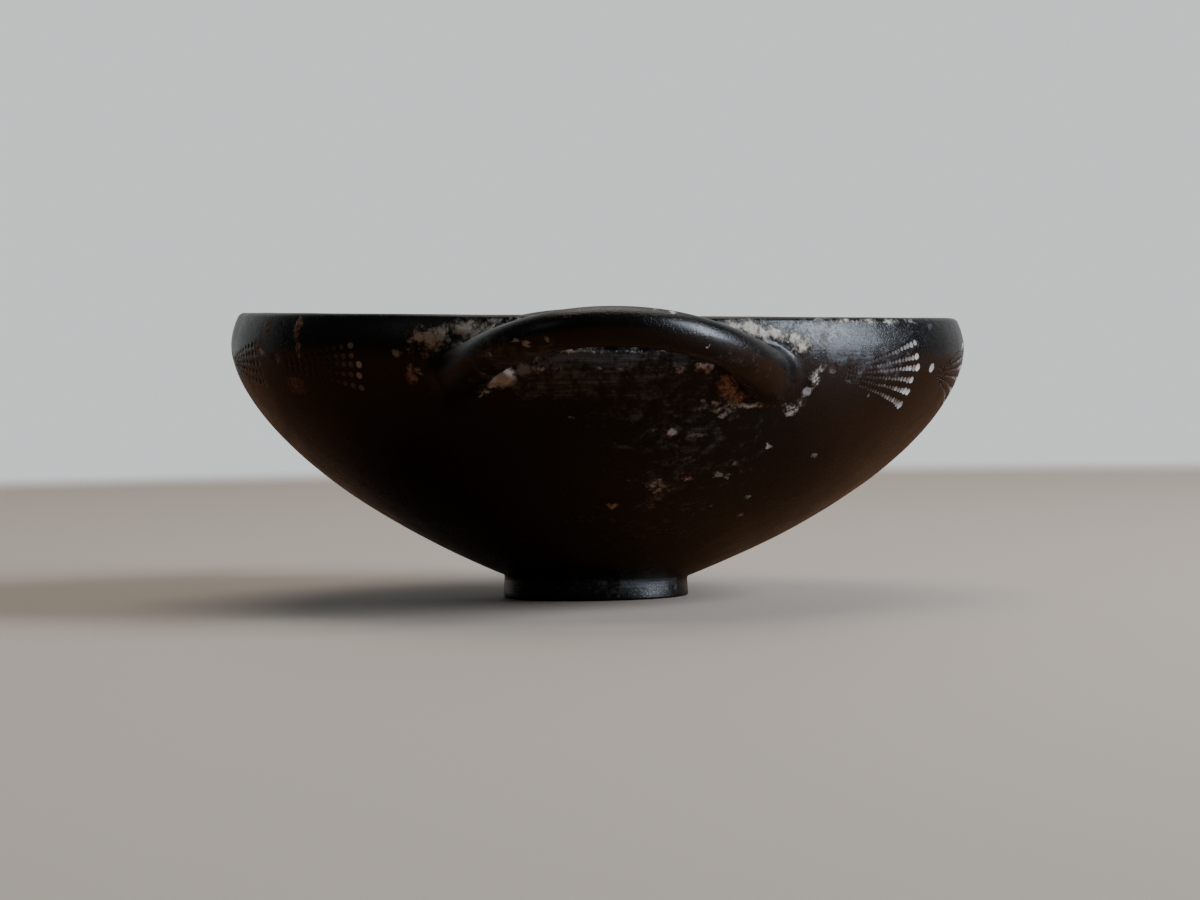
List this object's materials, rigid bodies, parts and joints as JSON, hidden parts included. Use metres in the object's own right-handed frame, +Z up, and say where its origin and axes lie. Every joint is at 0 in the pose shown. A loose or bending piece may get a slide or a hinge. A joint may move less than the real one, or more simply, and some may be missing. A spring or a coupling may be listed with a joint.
{
  "type": "kylix cup",
  "caption": "Low two-handled drinking cup: a wide shallow bowl on a ring foot, with a loop handle on each side below the rim.",
  "frame": {"origin": "on the table under the middle of the cup's box", "axes": "+Z up; the two handles lie along -Y and +Y"},
  "size_m": [0.14, 0.1958, 0.0553],
  "materials": {
    "black_clay": "burnished black fired clay, with traces of pale lime"
  },
  "bodies": {
    "root": {"kylix": "black_clay"}
  },
  "joints": []
}
